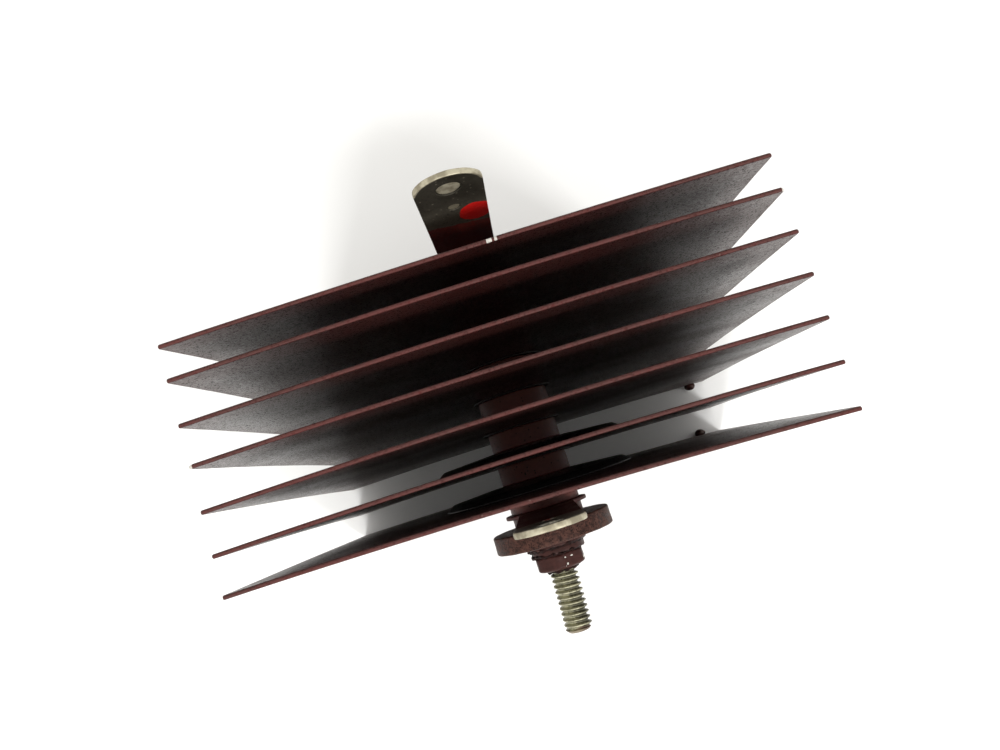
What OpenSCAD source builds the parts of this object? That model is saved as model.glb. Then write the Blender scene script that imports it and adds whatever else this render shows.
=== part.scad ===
// Selenium rectifier stack: seven square painted cells clamped on an insulated stud.
// +Y runs along the stud towards the positive terminal, +Z is up, X lies across the plates.
// The plates stand on their lower edges at Z = 0. Every cell is square to the stud.

/* [Rectifier plates] */
// Side of each square plate
plate_side = 111.1; // [80:0.1:150]
// Thickness of a plate with its paint
plate_t = 0.8; // [0.6:0.1:2]
// Hole in each plate for the insulating tube
plate_bore = 8.4; // [8.2:0.1:9]

/* [Contact springs] */
// Outer diameter of a spring at its contact rim
spring_d = 44.6; // [30:0.1:60]
// Width of the bevel between a spring's rim and its shoulder
rim_bevel = 1.7; // [1:0.1:3]
// Height of the shoulder over the plate
shoulder_h = 1.5; // [0.8:0.1:2]
// Height of the whole spring over the plate
spring_h = 2.25; // [2.05:0.05:4]
// Sheet thickness of a spring
spring_t = 0.45; // [0.3:0.05:0.6]
// Outer diameter of the barrier washer under a spring's centre
barrier_d = 18; // [12:0.1:24]

/* [Spacers and collars] */
// Outer diameter of the spacers and collars
spacer_d = 16.4; // [12:0.1:18]
// Length of a spacer between a spring and the next plate
spacer_len = 4.4; // [3:0.05:12]
// Length of the collar between an end cell and its terminal
end_collar_len = 3.65; // [2:0.05:10]
// Length of the collar behind the negative terminal
back_collar_len = 2.8; // [1:0.05:8]
// Outer diameter of the thin contact washers
contact_d = 18.4; // [14:0.1:22]
// Thickness of the thin contact washers
contact_t = 0.35; // [0.2:0.05:0.8]

/* [Terminals] */
// Width of a terminal strip
terminal_w = 12.7; // [10:0.1:16]
// Sheet thickness of a terminal
terminal_t = 0.8; // [0.5:0.05:1.6]
// Outer diameter of the ring that is clamped on the stud
ring_d = 19.4; // [17:0.1:24]
// Distance from the stud axis to the rounded tip
terminal_reach = 58; // [50:0.5:80]
// How much the end's radius exceeds half the strip's width
tip_extra = 0.45; // [0.2:0.05:3]
// Diameter of the screw hole
screw_hole_d = 4.6; // [3:0.1:6]
// Distance from the tip to the screw hole's centre
screw_hole_in = 5.3; // [4:0.1:8]
// Diameter of the wire hole
wire_hole_d = 2.4; // [1.5:0.1:3]
// Distance between the screw hole and the wire hole
hole_gap = 8.3; // [6:0.1:14]
// Angle by which the positive terminal leans away from the plates
positive_lean = 5; // [0:0.5:8]
// Angle by which the positive terminal is turned on the stud
positive_turn = 1.1; // [-10:0.1:10]
// Angle by which the negative terminal is turned on the stud
negative_turn = 0.7; // [-10:0.1:10]

/* [Stud and hardware] */
// Major diameter of the stud thread
stud_d = 6.35; // [5:0.05:6.4]
// How much thinner the shank is than the thread; the thread's core inside the nuts matches it
shank_cut = 0.85; // [0.6:0.05:1.2]
// Length of stud that stands clear of the mounting nut
stud_free = 14.8; // [8:0.1:40]
// Length of stud that stands clear of the end nut
stud_tail = 0.8; // [0.6:0.1:5]
// Outer diameter of the insulating tube
tube_d = 8.1; // [7.6:0.1:8.1]
// Inner diameter of the insulating tube
tube_bore = 6.6; // [6.5:0.05:7]
// Outer diameter of the thick insulating washer
insulator_d = 27.9; // [20:0.1:40]
// Thickness of the thick insulating washer
insulator_t = 4.2; // [2:0.1:10]
// Outer diameter of the thin insulating washer under the end nut
cap_washer_d = 15.9; // [12:0.1:20]
// Thickness of the thin insulating washer
cap_washer_t = 0.8; // [0.5:0.1:2]
// Outer diameter of the flat washer
flat_washer_d = 14; // [12:0.1:20]
// Thickness of the flat washer
flat_washer_t = 1.35; // [0.8:0.05:2]
// Outer diameter of the split lock washer
lock_washer_d = 12.4; // [10:0.1:16]
// Thickness of the split lock washer
lock_washer_t = 1.6; // [1:0.1:2.5]
// Width of a nut across its flats
nut_af = 11.1; // [9:0.1:14]
// Thickness of a nut
nut_t = 3.65; // [2.5:0.05:6]

/* [Hidden] */
$fn = 96;
plate_count = 7;
// Clearance on the diameter between the stud and what it passes through
hole_play = 0.25;
// Clearance on the diameter inside a nut
nut_play = 0.1;
// Width of the gap in the lock washer
lock_gap = 1.2;
// Chamfer at each end of the stud
stud_chamfer = 0.6;
// Chamfer on the thick washer's rims
insulator_chamfer = 0.35;
// How far the tube stops short of the insulator's outer face
tube_setback = 0.2;
// A cut runs this far past the face that it opens
past = 1;

hole_d = stud_d + hole_play;
shank_d = stud_d - shank_cut;
shoulder_r = spring_d / 2 - rim_bevel;
barrier_t = spring_h - spring_t;
pitch = plate_t + spring_h + spacer_len + contact_t;
axis_height = plate_side / 2;

// Places along the stud, measured from the middle of the last plate
positive_spring_top = (plate_count - 1) * pitch + plate_t / 2 + spring_h;
positive_ring = positive_spring_top + end_collar_len;
cap_washer_at = positive_ring + terminal_t;
end_nut_at = cap_washer_at + cap_washer_t;
stud_top = end_nut_at + nut_t + stud_tail;
negative_collar_at = -plate_t / 2 - contact_t - end_collar_len;
negative_ring = negative_collar_at - terminal_t;
back_collar_at = negative_ring - back_collar_len;
insulator_at = back_collar_at - insulator_t;
flat_washer_at = insulator_at - flat_washer_t;
lock_washer_at = flat_washer_at - lock_washer_t;
mounting_nut_at = lock_washer_at - nut_t;
stud_bottom = mounting_nut_at - stud_free;
stack_middle = (stud_top + stud_bottom) / 2;
// A terminal bends just outside its ring
bend_at = ring_d / 2 + 0.8;

function plate_at(i) = (plate_count - i) * pitch;

// Puts a child that is drawn along local Z at a place along the stud
module along(place)
{
    translate([0, place - stack_middle, axis_height]) rotate([-90, 0, 0]) children();
}

module ring(outer, inner, height)
{
    difference() {
        cylinder(d = outer, h = height);
        translate([0, 0, -past]) cylinder(d = inner, h = height + 2 * past);
    }
}

module rectifier_plate(i)
{
    color("#5a1f22") along(plate_at(i) - plate_t / 2) difference() {
        translate([-plate_side / 2, -plate_side / 2, 0]) cube([plate_side, plate_side, plate_t]);
        translate([0, 0, -past]) cylinder(d = plate_bore, h = plate_t + 2 * past);
    }
}

// A dished sheet washer: bevelled rim on the cell, then a shallow cone up to a flat centre
module contact_spring(i)
{
    rim = spring_d / 2;
    flat = barrier_d / 2;
    top = spring_h;
    skin = spring_t;
    color("#26262a") along(plate_at(i) + plate_t / 2) rotate_extrude() polygon([
        [plate_bore / 2, top],
        [flat, top],
        [shoulder_r, shoulder_h],
        [rim, skin * 0.6],
        [rim, 0],
        [rim - skin, 0],
        [shoulder_r - skin * 0.4, shoulder_h - skin],
        [flat, top - skin],
        [plate_bore / 2, top - skin]
    ]);
}

// Keeps the clamping force off the cell under the spring
module barrier_washer(i)
{
    color("#b08c5a") along(plate_at(i) + plate_t / 2) ring(barrier_d, plate_bore, barrier_t);
}

module contact_washer(i)
{
    color("#3c3a3a") along(plate_at(i) - plate_t / 2 - contact_t) ring(contact_d, plate_bore, contact_t);
}

// Fills the gap between one cell's spring and the contact washer of the cell above it
module spacer(i)
{
    color("#6b3a35") along(plate_at(i + 1) + plate_t / 2 + spring_h) ring(spacer_d, plate_bore, spacer_len);
}

module positive_end_collar()
{
    color("#6b3a35") along(positive_spring_top) ring(spacer_d, plate_bore, end_collar_len);
}

module negative_end_collar()
{
    color("#6b3a35") along(negative_collar_at) ring(spacer_d, plate_bore, end_collar_len);
}

module back_collar()
{
    color("#6b3a35") along(back_collar_at) ring(spacer_d, plate_bore, back_collar_len);
}

// Side view of a terminal: flat on the ring, then bent up by the lean, mitred where it bends
module terminal_profile(lean)
{
    run = terminal_reach + past - bend_at;
    end_y = bend_at + run * cos(lean);
    end_z = run * sin(lean);
    polygon([
        [0, 0],
        [bend_at, 0],
        [end_y, end_z],
        [end_y - terminal_t * sin(lean), end_z + terminal_t * cos(lean)],
        [bend_at - terminal_t * tan(lean / 2), terminal_t],
        [0, terminal_t]
    ]);
}

// Puts a cutter on the bent strip, at a distance along it from the stud's axis
module on_strip(lean, distance)
{
    translate([0, -bend_at, 0]) rotate([-lean, 0, 0])
        translate([0, bend_at - distance, -past]) children();
}

// A ring on the stud and a strip that leans from the bend to its rounded end
module terminal(lean, turn)
{
    tip_r = terminal_w / 2 + tip_extra;
    screw_at = terminal_reach - screw_hole_in;
    cut_h = terminal_t + 2 * past;
    rotate([0, 0, turn]) difference() {
        union() {
            cylinder(d = ring_d, h = terminal_t);
            rotate([90, 0, -90]) linear_extrude(terminal_w, center = true) terminal_profile(lean);
        }
        on_strip(lean, terminal_reach - tip_r) difference() {
            translate([-terminal_w, -2 * tip_r, 0]) cube([2 * terminal_w, 2 * tip_r, cut_h]);
            translate([0, 0, -past]) cylinder(r = tip_r, h = cut_h + 2 * past);
        }
        on_strip(lean, screw_at) cylinder(d = screw_hole_d, h = cut_h);
        on_strip(lean, screw_at - hole_gap) cylinder(d = wire_hole_d, h = cut_h);
        translate([0, 0, -past]) cylinder(d = plate_bore, h = cut_h);
    }
}

module positive_terminal()
{
    color("#c9c2ae") along(positive_ring) terminal(positive_lean, positive_turn);
}

module negative_terminal()
{
    color("#c9c2ae") along(negative_ring) terminal(0, negative_turn);
}

module insulating_tube()
{
    foot = insulator_at + tube_setback;
    color("#8a6a3c") along(foot) ring(tube_d, tube_bore, cap_washer_at - foot);
}

module insulating_washer()
{
    rim = insulator_d / 2;
    bevel = insulator_chamfer;
    color("#7a443c") along(insulator_at) rotate_extrude() polygon([
        [plate_bore / 2, 0],
        [rim - bevel, 0],
        [rim, bevel],
        [rim, insulator_t - bevel],
        [rim - bevel, insulator_t],
        [plate_bore / 2, insulator_t]
    ]);
}

module cap_washer()
{
    color("#7a443c") along(cap_washer_at) ring(cap_washer_d, hole_d, cap_washer_t);
}

module flat_washer()
{
    color("#5a2a26") along(flat_washer_at) ring(flat_washer_d, hole_d, flat_washer_t);
}

module lock_washer()
{
    color("#5a2a26") along(lock_washer_at) difference() {
        ring(lock_washer_d, hole_d, lock_washer_t);
        translate([0, -lock_gap / 2, -past]) cube([lock_washer_d, lock_gap, lock_washer_t + 2 * past]);
    }
}

// Chamfered and countersunk on both faces; one corner points up
module hex_nut()
{
    corner_r = nut_af / 2 / cos(30);
    bevel = corner_r - nut_af / 2;
    face_r = nut_af / 2 - nut_play;
    bore_r = (shank_d + nut_play) / 2;
    sink_r = hole_d / 2;
    intersection() {
        rotate([0, 0, 30]) cylinder(r = corner_r, h = nut_t, $fn = 6);
        rotate_extrude() polygon([
            [sink_r, 0],
            [face_r, 0],
            [corner_r + nut_play, bevel * 0.6],
            [corner_r + nut_play, nut_t - bevel * 0.6],
            [face_r, nut_t],
            [sink_r, nut_t],
            [bore_r, nut_t - sink_r + bore_r],
            [bore_r, sink_r - bore_r]
        ]);
    }
}

module mounting_nut()
{
    color("#5e2c28") along(mounting_nut_at) hex_nut();
}

module end_nut()
{
    color("#5e2c28") along(end_nut_at) hex_nut();
}

// A double-ended stud: full thread diameter where it shows, its core inside the nuts, and a
// plain shank inside the tube
module center_stud()
{
    full_r = stud_d / 2;
    tip_r = full_r - stud_chamfer;
    shank_r = shank_d / 2;
    color("#b9b199") along(0) rotate_extrude() polygon([
        [0, stud_bottom],
        [tip_r, stud_bottom],
        [full_r, stud_bottom + stud_chamfer],
        [full_r, mounting_nut_at],
        [shank_r, mounting_nut_at],
        [shank_r, lock_washer_at],
        [full_r, lock_washer_at],
        [full_r, back_collar_at],
        [shank_r, back_collar_at + full_r - shank_r],
        [shank_r, positive_spring_top - full_r + shank_r],
        [full_r, positive_spring_top],
        [full_r, end_nut_at],
        [shank_r, end_nut_at],
        [shank_r, end_nut_at + nut_t],
        [full_r, end_nut_at + nut_t],
        [full_r, stud_top - stud_chamfer],
        [tip_r, stud_top],
        [0, stud_top]
    ]);
}

center_stud();
insulating_tube();
for (i = [1:plate_count]) {
    rectifier_plate(i);
    contact_spring(i);
    barrier_washer(i);
    contact_washer(i);
}
for (i = [1:plate_count - 1]) spacer(i);
positive_end_collar();
negative_end_collar();
back_collar();
positive_terminal();
negative_terminal();
insulating_washer();
cap_washer();
flat_washer();
lock_washer();
mounting_nut();
end_nut();
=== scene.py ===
import bpy
import bmesh
import math
from mathutils import Matrix, Vector, noise
from mathutils.geometry import delaunay_2d_cdt


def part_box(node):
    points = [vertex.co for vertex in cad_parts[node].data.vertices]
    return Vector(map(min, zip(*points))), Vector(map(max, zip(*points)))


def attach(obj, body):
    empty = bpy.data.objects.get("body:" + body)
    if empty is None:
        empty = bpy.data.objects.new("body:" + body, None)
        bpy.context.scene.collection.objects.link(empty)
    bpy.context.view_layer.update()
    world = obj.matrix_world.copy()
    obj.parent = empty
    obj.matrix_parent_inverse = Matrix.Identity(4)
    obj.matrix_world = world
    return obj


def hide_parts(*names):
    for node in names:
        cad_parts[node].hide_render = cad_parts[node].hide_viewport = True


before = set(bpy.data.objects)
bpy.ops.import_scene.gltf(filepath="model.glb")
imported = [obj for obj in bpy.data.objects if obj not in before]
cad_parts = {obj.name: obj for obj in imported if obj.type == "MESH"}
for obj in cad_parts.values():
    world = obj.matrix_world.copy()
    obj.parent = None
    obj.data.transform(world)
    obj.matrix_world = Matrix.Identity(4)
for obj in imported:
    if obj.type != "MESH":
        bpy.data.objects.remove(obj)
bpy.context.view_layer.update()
mm = 0.001
fine = Vector((0.371, 0.117, 0.733))  # keeps noise off its own lattice points
tubeHole, studHole = 4.2, 3.3  # radii of the holes round the insulating tube and round the bare stud, mm
print("frame loaded")


def spanY(node):
    low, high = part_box(node)
    return low.y, high.y


def intoScene(obj):
    bpy.context.scene.collection.objects.link(obj)


low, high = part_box("rectifier_plate_4")
axisZ = ((low + high) / 2).z
plateY = {i: sum(spanY(f"rectifier_plate_{i}")) / 2 for i in range(1, 8)}

camera = {
    "lens": 29.39, "sensor": 36.0,
    "place": (3.15, 6.32, 193.26),  # from the stud axis and the last plate, mm
    "turn": (5.790, 3.121, -16.966),  # degrees
}
studio = {
    "floor": 3.0, "floorTone": (0.86, 0.86, 0.85),
    "sky": (1.0, 0.99, 0.965), "skyPower": 1.15,
    "lamps": {"lampLeft": ((-0.45, -1.0, 1.45), 5.8), "lampRight": ((0.83, -1.0, 1.45), 5.8)},
    "lampDistance": 1.2, "lampSize": (0.20, 0.20),
}


def makeCamera(c):
    data = bpy.data.cameras.new("camera")
    data.lens = c["lens"]
    data.sensor_width = c["sensor"]
    data.clip_start = 0.01
    data.dof.use_dof = False
    cam = bpy.data.objects.new("camera", data)
    x, y, z = (v * mm for v in c["place"])
    cam.location = (x, plateY[7] + y, axisZ + z)
    cam.rotation_euler = [math.radians(a) for a in c["turn"]]
    intoScene(cam)
    bpy.context.scene.camera = cam


def makeArea(name, towards, distance, size, power):
    data = bpy.data.lights.new(name, "AREA")
    data.shape = "RECTANGLE"
    data.size, data.size_y = size
    data.energy = power
    light = bpy.data.objects.new(name, data)
    direction = Vector(towards).normalized()
    light.location = Vector((0, 0, axisZ)) + direction * distance
    light.rotation_euler = direction.to_track_quat("Z", "Y").to_euler()
    intoScene(light)


def makeStudio(s):
    scene = bpy.context.scene
    scene.view_settings.view_transform = "Standard"
    world = bpy.data.worlds.new("studio")
    scene.world = world
    world.use_nodes = True
    sky = world.node_tree.nodes["Background"]
    sky.inputs["Color"].default_value = (*s["sky"], 1)
    sky.inputs["Strength"].default_value = s["skyPower"]
    for name, (towards, power) in s["lamps"].items():
        makeArea(name, towards, s["lampDistance"], s["lampSize"], power)
    half = s["floor"] / 2
    mesh = bpy.data.meshes.new("floor")
    mesh.from_pydata([(-half, -half, 0), (half, -half, 0), (half, half, 0), (-half, half, 0)], [], [(0, 1, 2, 3)])
    floor = bpy.data.objects.new("floor", mesh)
    intoScene(floor)
    paper = bpy.data.materials.new("tableTop")
    paper.use_nodes = True
    shader = paper.node_tree.nodes["Principled BSDF"]
    shader.inputs["Base Color"].default_value = (*s["floorTone"], 1)
    shader.inputs["Roughness"].default_value = 0.6
    mesh.materials.append(paper)


makeCamera(camera)
makeStudio(studio)
print("camera and studio ready")


class Graph:
    # a thin wrapper over a node tree, so that its building reads from top to bottom
    def __init__(self, tree):
        self.tree = tree

    def put(self, socket, value):
        if isinstance(value, bpy.types.NodeSocket):
            self.tree.links.new(value, socket)
        else:
            socket.default_value = value

    def add(self, kind, props=None, **inputs):
        node = self.tree.nodes.new(kind)
        for key, value in (props or {}).items():
            setattr(node, key, value)
        for key, value in inputs.items():
            self.put(node.inputs[key.replace("_", " ")], value)
        return node

    def math(self, op, a, b=0.0, clamp=False):
        node = self.add("ShaderNodeMath", {"operation": op, "use_clamp": clamp})
        self.put(node.inputs[0], a)
        self.put(node.inputs[1], b)
        return node.outputs[0]

    def plus(self, a, b, clamp=False):
        return self.math("ADD", a, b, clamp)

    def minus(self, a, b):
        return self.math("SUBTRACT", a, b)

    def times(self, a, b, clamp=False):
        return self.math("MULTIPLY", a, b, clamp)

    def mix(self, factor, a, b):
        node = self.add("ShaderNodeMix", {"data_type": "RGBA"}, Factor=factor)
        self.put(node.inputs["A"], a)
        self.put(node.inputs["B"], b)
        return node.outputs["Result"]

    def ramp(self, value, low, high, outLow=0.0, outHigh=1.0, kind="LINEAR"):
        node = self.add("ShaderNodeMapRange", {"interpolation_type": kind})
        ends = {"Value": value, "From Min": low, "From Max": high, "To Min": outLow, "To Max": outHigh}
        for key, end in ends.items():
            self.put(node.inputs[key], end)
        return node.outputs["Result"]

    def step(self, value, low, high, outLow=0.0, outHigh=1.0):
        return self.ramp(value, low, high, outLow, outHigh, "SMOOTHSTEP")


class Group(Graph):
    # a shader group whose sockets follow the names and values given
    def __init__(self, name, inputs, outputs):
        super().__init__(bpy.data.node_groups.new(name, "ShaderNodeTree"))
        face = self.tree.interface
        for label, value in inputs.items():
            kind = "NodeSocketVector" if isinstance(value, tuple) else "NodeSocketFloat"
            face.new_socket(label, in_out="INPUT", socket_type=kind).default_value = value
        for label in outputs:
            face.new_socket(label, in_out="OUTPUT", socket_type="NodeSocketFloat")
        self.inputs = self.tree.nodes.new("NodeGroupInput").outputs
        self.outputs = self.tree.nodes.new("NodeGroupOutput").inputs


def makeGrain():
    # uneven tone: broad drift plus fine mottling, 0..1 around a half
    g = Group("uneven tone", {"Vector": (0, 0, 0), "Broad": 60.0, "Fine": 900.0}, ["Tone", "Height"])
    at = g.inputs
    broad = g.add("ShaderNodeTexNoise", Vector=at["Vector"], Scale=at["Broad"], Detail=3.0)
    small = g.add("ShaderNodeTexNoise", Vector=at["Vector"], Scale=at["Fine"], Detail=4.0, Roughness=0.6)
    tone = g.plus(g.times(broad.outputs[0], 0.55), g.times(small.outputs[0], 0.45))
    g.put(g.outputs["Tone"], g.step(tone, 0.34, 0.66))
    g.put(g.outputs["Height"], small.outputs[0])
    return g.tree


def makeSpecks():
    # small separate specks on a cell pattern; Share says how many cells carry one
    g = Group("specks", {"Vector": (0, 0, 0), "Scale": 1500.0, "Size": 0.3, "Share": 0.3}, ["Mask"])
    at = g.inputs
    cells = g.add("ShaderNodeTexVoronoi", Vector=at["Vector"], Scale=at["Scale"])
    near = g.math("LESS_THAN", cells.outputs["Distance"], at["Size"])
    pick = g.add("ShaderNodeSeparateColor", Color=cells.outputs["Color"])
    chosen = g.math("LESS_THAN", pick.outputs[0], at["Share"])
    g.put(g.outputs["Mask"], g.times(near, chosen))
    return g.tree


def makeRagged():
    # 0 below a line across one coordinate, 1 above it, with a wandering edge
    g = Group("ragged line", {
        "Vector": (0, 0, 0), "Coordinate": 0.0, "Line": 0.0, "Wander": 0.0005, "Scale": 900.0}, ["Mask"])
    at = g.inputs
    wave = g.add("ShaderNodeTexNoise", Vector=at["Vector"], Scale=at["Scale"], Detail=4.0)
    shift = g.times(g.minus(wave.outputs[0], 0.5), at["Wander"])
    above = g.minus(g.plus(at["Coordinate"], shift), at["Line"])
    g.put(g.outputs["Mask"], g.step(above, -0.00004, 0.00004))
    return g.tree


grain, specks, ragged = makeGrain(), makeSpecks(), makeRagged()


def startMaterial(name):
    mat = bpy.data.materials.new(name)
    mat.use_nodes = True
    g = Graph(mat.node_tree)
    shader = mat.node_tree.nodes["Principled BSDF"]
    where = g.add("ShaderNodeTexCoord").outputs["Object"]
    return mat, g, shader, where


def use(g, group, **inputs):
    node = g.tree.nodes.new("ShaderNodeGroup")
    node.node_tree = group
    for key, value in inputs.items():
        g.put(node.inputs[key], value)
    return node.outputs


def attribute(g, name):
    return g.add("ShaderNodeAttribute", {"attribute_name": name}).outputs["Fac"]


def surface(g, shader, colour, rough, shine, relief, depth, metallic=0.0):
    # the sockets that every finish sets; depth is the relief's height in metres
    values = {"Base Color": colour, "Roughness": rough, "Metallic": metallic, "Specular IOR Level": shine}
    for key, value in values.items():
        g.put(shader.inputs[key], value)
    bump = g.add("ShaderNodeBump", Height=relief, Distance=depth, Strength=1.0)
    g.put(shader.inputs["Normal"], bump.outputs["Normal"])


def ellipse(g, *sides):
    # squared distance from an ellipse's centre, 1 on its edge; a side is coordinate, centre, half size in mm
    reach = [g.math("DIVIDE", g.minus(axis, centre), half * mm) for axis, centre, half in sides]
    return g.plus(*(g.times(r, r) for r in reach))


cellPaint = {
    "deep": (0.021, 0.0042, 0.0036, 1), "light": (0.032, 0.0068, 0.0058, 1), "thin": (0.066, 0.0140, 0.0130, 1),
    "bare": (0.46, 0.44, 0.40, 1), "speckDark": (0.004, 0.002, 0.002, 1), "speckPale": (0.16, 0.11, 0.09, 1),
    "gloss": (0.30, 0.44), "shine": 0.38, "shineTint": (1.0, 0.86, 0.78, 1),
}


def makeCellLacquer(c):
    mat, g, shader, where = startMaterial("cellLacquer")
    tone = use(g, grain, Vector=where, Broad=38.0, Fine=1100.0)
    colour = g.mix(tone["Tone"], c["deep"], c["light"])
    coarse = use(g, specks, Vector=where, Scale=1150.0, Size=0.27, Share=0.42)["Mask"]
    tight = use(g, specks, Vector=where, Scale=2700.0, Size=0.36, Share=0.5)["Mask"]
    dark = g.math("MAXIMUM", coarse, tight)
    pale = use(g, specks, Vector=where, Scale=720.0, Size=0.12, Share=0.12)["Mask"]
    colour = g.mix(dark, colour, c["speckDark"])
    colour = g.mix(g.times(pale, 0.7), colour, c["speckPale"])
    # paint pulls back from the edge and lets a paler tone through, and the same paler tone is a painted highlight
    # along the crest of the rim
    rim = attribute(g, "rim")
    wearAndSheen = g.times(rim, g.step(tone["Tone"], 0.0, 0.9, 0.55, 1.0), True)
    colour = g.mix(wearAndSheen, colour, c["thin"])
    chip = attribute(g, "chip")
    ground = g.step(g.plus(chip, g.times(g.minus(tone["Height"], 0.5), 0.5)), 0.45, 0.52)
    colour = g.mix(ground, colour, c["bare"])
    peel = g.add("ShaderNodeTexNoise", Vector=where, Scale=1500.0, Detail=3.0, Roughness=0.6)
    low, high = c["gloss"]
    rough = g.step(tone["Tone"], 0.0, 1.0, low, high)
    rough = g.plus(rough, g.times(dark, 0.35))
    rough = g.plus(rough, g.times(rim, 0.25), True)
    relief = g.minus(peel.outputs[0], g.times(dark, 1.5))
    surface(g, shader, colour, rough, c["shine"], relief, 0.00011)
    shader.inputs["Specular Tint"].default_value = c["shineTint"]
    return mat


def makePlain(name, pair, gloss, dark, metallic=0.0, scales=(90.0, 1200.0), relief=0.00002, darkShare=0.25,
              darkSize=0.26, darkScale=1400.0, shine=0.5, rootRadius=None):
    # one finish with drifting tone, specks and matching roughness and relief
    mat, g, shader, where = startMaterial(name)
    tone = use(g, grain, Vector=where, Broad=scales[0], Fine=scales[1])
    colour = g.mix(tone["Tone"], pair[0], pair[1])
    rough = g.step(tone["Tone"], 0.0, 1.0, gloss[0], gloss[1])
    mask = use(g, specks, Vector=where, Scale=darkScale, Size=darkSize, Share=darkShare)["Mask"]
    colour = g.mix(mask, colour, dark)
    rough = g.plus(rough, g.times(mask, 0.2), True)
    height = g.minus(tone["Height"], g.times(mask, 0.6))
    if rootRadius:
        # darker towards the roots of the thread
        axes = g.add("ShaderNodeSeparateXYZ", Vector=where).outputs
        up = g.minus(axes["Z"], axisZ)
        away = g.math("SQRT", g.plus(g.times(axes["X"], axes["X"]), g.times(up, up)))
        away = g.plus(away, g.times(g.minus(tone["Tone"], 0.5), 0.0002))
        rootDarkening = g.step(away, rootRadius[0] * mm, rootRadius[1] * mm, 0.68, 0.0)
        colour = g.mix(rootDarkening, colour, dark)
        stain = use(g, ragged, Vector=where, Coordinate=g.times(axes["Y"], -1.0), Line=-footY - 0.0009,
                    Wander=0.0014, Scale=500.0)["Mask"]
        colour = g.mix(g.times(stain, 0.55), colour, (0.09, 0.030, 0.022, 1))
    surface(g, shader, colour, rough, shine, height, relief, metallic)
    return mat


stripFinish = {
    "tin": (0.26, 0.245, 0.20, 1), "tinDull": (0.030, 0.027, 0.020, 1),
    "tinPaintedLight": (0.15, 0.134, 0.10, 1), "grit": (0.24, 0.215, 0.165, 1),
    "solder": (0.42, 0.385, 0.285, 1), "solderDull": (0.24, 0.212, 0.150, 1),
    "maroon": (0.035, 0.0045, 0.004, 1), "maroonLight": (0.065, 0.010, 0.008, 1),
    "maroonPaintedLight": (0.20, 0.032, 0.024, 1), "red": (0.55, 0.008, 0.006, 1), "shine": 0.22,
}


def makeStrip(name, c, paintLine, slope, paintedLightShare, red=None, face=None):
    # maroon below a ragged line, bare tinned metal above it, cream solder on the rims
    # red is a spot: place across, height over the axis, half width and half height, mm; face tones the metal
    mat, g, shader, where = startMaterial(name)
    axes = g.add("ShaderNodeSeparateXYZ", Vector=where).outputs
    tone = use(g, grain, Vector=where, Broad=160.0, Fine=1500.0)
    bead = attribute(g, "bead")
    along = g.plus(axes["Z"], g.times(axes["X"], slope))
    bare = use(g, ragged, Vector=where, Coordinate=along, Line=axisZ + paintLine * mm, Wander=0.0016,
               Scale=650.0)["Mask"]
    dull = g.mix(tone["Tone"], c["tinDull"], face or c["tin"])
    grit = use(g, specks, Vector=where, Scale=1300.0, Size=0.3, Share=0.3)["Mask"]
    # painted light: the bare metal below 36 mm over the axis is lightened, fading out by 50 mm, against the shadow
    # that plate 1 casts on it
    dull = g.mix(g.step(axes["Z"], axisZ + 0.036, axisZ + 0.050, 0.8, 0.0), dull, c["tinPaintedLight"])
    dull = g.mix(g.times(grit, 0.6), dull, c["tinDull"])
    pale = use(g, specks, Vector=where, Scale=1050.0, Size=0.2, Share=0.3)["Mask"]
    dull = g.mix(g.times(pale, 0.55), dull, c["grit"])
    blotch = g.add("ShaderNodeTexNoise", Vector=where, Scale=520.0, Detail=4.0)
    solder = g.mix(g.step(blotch.outputs[0], 0.38, 0.62), c["solderDull"], c["solder"])
    metal = g.mix(g.step(g.plus(bead, g.times(tone["Tone"], 0.2)), 0.42, 0.6), dull, solder)
    paint = g.mix(tone["Tone"], c["maroon"], c["maroonLight"])
    # painted light: the maroon within a few mm below the paint line is lightened, scaled by the strip's share
    top = g.step(g.plus(along, g.times(tone["Tone"], 0.002)), axisZ + (paintLine - 5.0) * mm,
                 axisZ + (paintLine + 1.5) * mm)
    paint = g.mix(g.times(top, g.step(tone["Tone"], 0.0, 0.8, 0.5 * paintedLightShare, paintedLightShare)), paint, c["maroonPaintedLight"])
    colour = g.mix(bare, paint, metal)
    metalness = g.times(bare, 0.55)
    if red:
        centreX, centreZ, radius, reach = red
        far = ellipse(g, (axes["X"], centreX * mm, radius), (axes["Z"], axisZ + centreZ * mm, reach))
        blot = use(g, ragged, Vector=where, Coordinate=g.times(far, -0.001), Line=-0.001, Wander=0.0004,
                   Scale=420.0)["Mask"]
        blot = g.times(blot, bare)
        colour = g.mix(blot, colour, c["red"])
        metalness = g.times(metalness, g.minus(1.0, blot))
    rough = g.step(tone["Tone"], 0.0, 1.0, 0.42, 0.62)
    relief = g.plus(tone["Height"], g.times(g.minus(1.0, bare), 2.0))
    surface(g, shader, colour, rough, c["shine"], relief, 0.00003, metalness)
    return mat


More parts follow.
